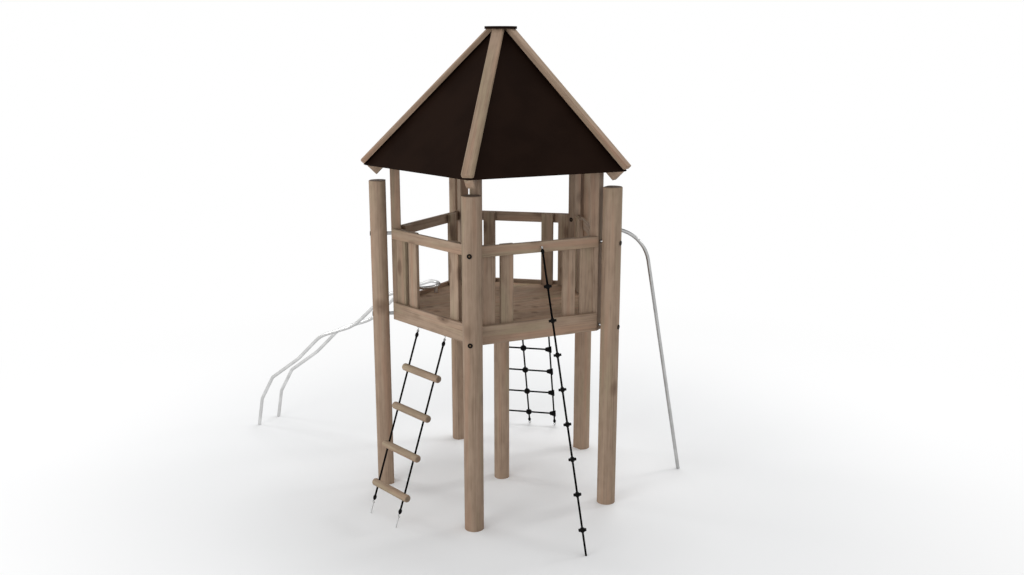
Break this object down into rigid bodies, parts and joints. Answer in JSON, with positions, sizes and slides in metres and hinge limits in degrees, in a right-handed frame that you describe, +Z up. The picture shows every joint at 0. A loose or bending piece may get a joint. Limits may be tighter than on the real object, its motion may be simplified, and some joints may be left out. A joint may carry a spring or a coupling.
{
  "type": "play tower",
  "caption": "A timber play tower on round posts, with a slatted deck under a pointed roof and a rope ladder, climbing rope, net, sliding pole and wavy rails to get up and down.",
  "frame": {"origin": "the middle of the centre post's foot, on the ground", "axes": "+Z up, -Y towards the front post, +X to its right"},
  "size_m": [4.1577, 2.5733, 3.816],
  "materials": {
    "round_timber": "weathered round timber",
    "sawn_timber": "weathered sawn timber",
    "boards": "weathered planed boards",
    "roof_sheet": "dark stained sheet",
    "steel": "brushed stainless steel",
    "rope": "black twisted rope with a steel core",
    "black_rubber": "black rubber"
  },
  "bodies": {
    "root": {"post_front": "round_timber", "post_right": "round_timber", "post_back_right": "round_timber", "post_back_left": "round_timber", "post_left": "round_timber", "upright_front": "sawn_timber", "upright_right": "sawn_timber", "upright_back_right": "sawn_timber", "upright_back_left": "sawn_timber", "upright_left": "sawn_timber", "beam_front_right": "sawn_timber", "beam_right": "sawn_timber", "beam_back": "sawn_timber", "beam_left": "sawn_timber", "beam_front_left": "sawn_timber", "slats_front_right": "boards", "slats_right": "boards", "slats_back": "boards", "slats_left": "boards", "slats_front_left": "boards", "roof_panel_front_right": "roof_sheet", "roof_panel_right": "roof_sheet", "roof_panel_back": "roof_sheet", "roof_panel_left": "roof_sheet", "roof_panel_front_left": "roof_sheet", "guard_rails": "sawn_timber", "rafters": "sawn_timber", "hip_covers": "boards", "joists": "sawn_timber", "deck_floor": "boards", "centre_post": "round_timber", "apex_plate": "roof_sheet", "spacer_tubes": "steel", "sliding_pole": "steel", "wavy_rails": "steel", "ladder_ropes": "rope", "ladder_rungs": "round_timber", "ladder_pins": "steel", "climbing_rope": "rope", "rope_footholds": "black_rubber", "rope_holder": "steel", "climbing_net": "rope", "net_pins": "steel"}
  },
  "joints": []
}
